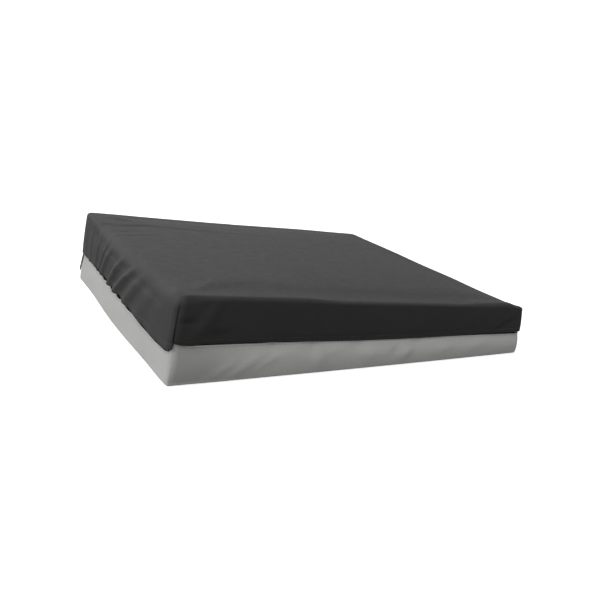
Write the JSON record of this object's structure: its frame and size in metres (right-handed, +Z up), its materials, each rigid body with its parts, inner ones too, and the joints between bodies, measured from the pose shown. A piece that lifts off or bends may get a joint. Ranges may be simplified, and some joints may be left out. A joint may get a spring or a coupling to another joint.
{
  "type": "pressure relief mattress pad",
  "caption": "Wedge-shaped pressure relief pad: layered foam in a zipped cover with a dark stretch top, grey base and waterfall flaps over the zip.",
  "frame": {"origin": "centre of the base cover's footprint, on the underside", "axes": "+Z up; +X from the thick end to the thin end; -Y the front, +Y the sewn back side"},
  "size_m": [0.4377, 0.4179, 0.0918],
  "materials": {
    "top_cloth": "matt dark charcoal coated stretch cloth",
    "base_cloth": "matt mid-grey coated cloth",
    "binding": "dark folded cloth edge",
    "seam_tape": "smooth welded sealing tape",
    "zip_tape": "black woven tape",
    "zip_coil": "black moulded filament",
    "zip_metal": "black enamel",
    "pull": "black enamel",
    "firm_foam": "open-cell foam, firm",
    "rail_foam": "open-cell foam, firm",
    "cell_foam": "open-cell foam, medium",
    "memory_foam": "slow-recovery foam"
  },
  "bodies": {
    "base": {"base_cover": "base_cloth", "base_corner_seam_tapes": "seam_tape", "back_seam_binding": "binding", "lower_zip_tape": "zip_tape", "lower_zip_coil": "zip_coil", "zip_closed_stop": "zip_metal", "zip_open_stop": "zip_metal", "firm_base_foam": "firm_foam", "front_rail_foam": "rail_foam", "back_rail_foam": "rail_foam", "cut_cell_foam": "cell_foam", "memory_foam": "memory_foam"},
    "cover": {"top_cover": "top_cloth", "top_corner_seam_tapes": "seam_tape", "upper_zip_tape": "zip_tape", "upper_zip_coil": "zip_coil"},
    "slider": {"zip_slider": "zip_metal"},
    "pull": {"pull_tab": "pull"},
    "left_flap_body": {"left_flap": "top_cloth", "left_flap_hem": "binding"},
    "front_flap_body": {"front_flap": "top_cloth", "front_flap_hem": "binding"},
    "right_flap_body": {"right_flap": "top_cloth", "right_flap_hem": "binding"}
  },
  "joints": [
    {"name": "cover_open", "type": "hinge", "parent": "base", "child": "cover", "pos_m": [0, 0.2085, 0.0355], "axis": [-0.9994, 0, 0.0345], "range_deg": [0, 120]},
    {"name": "zip_slide", "type": "slide", "parent": "base", "child": "slider", "axis": [0, -1, 0], "range_m": [0, 0.355]},
    {"name": "pull_swing", "type": "hinge", "parent": "slider", "child": "pull", "pos_m": [-0.21021, 0.1965, 0.0505], "axis": [-0.9911, 0, 0.1332], "range_deg": [0, 100]},
    {"name": "left_flap_lift", "type": "hinge", "parent": "cover", "child": "left_flap_body", "pos_m": [-0.21217, 0, 0.06183], "axis": [0, 1, 0], "range_deg": [0, 140]},
    {"name": "front_flap_lift", "type": "hinge", "parent": "cover", "child": "front_flap_body", "pos_m": [0, -0.2085, 0.0545], "axis": [-0.9994, 0, 0.0345], "range_deg": [0, 140]},
    {"name": "right_flap_lift", "type": "hinge", "parent": "cover", "child": "right_flap_body", "pos_m": [0.2205, 0, 0.04688], "axis": [0, -1, 0], "range_deg": [0, 140]}
  ]
}
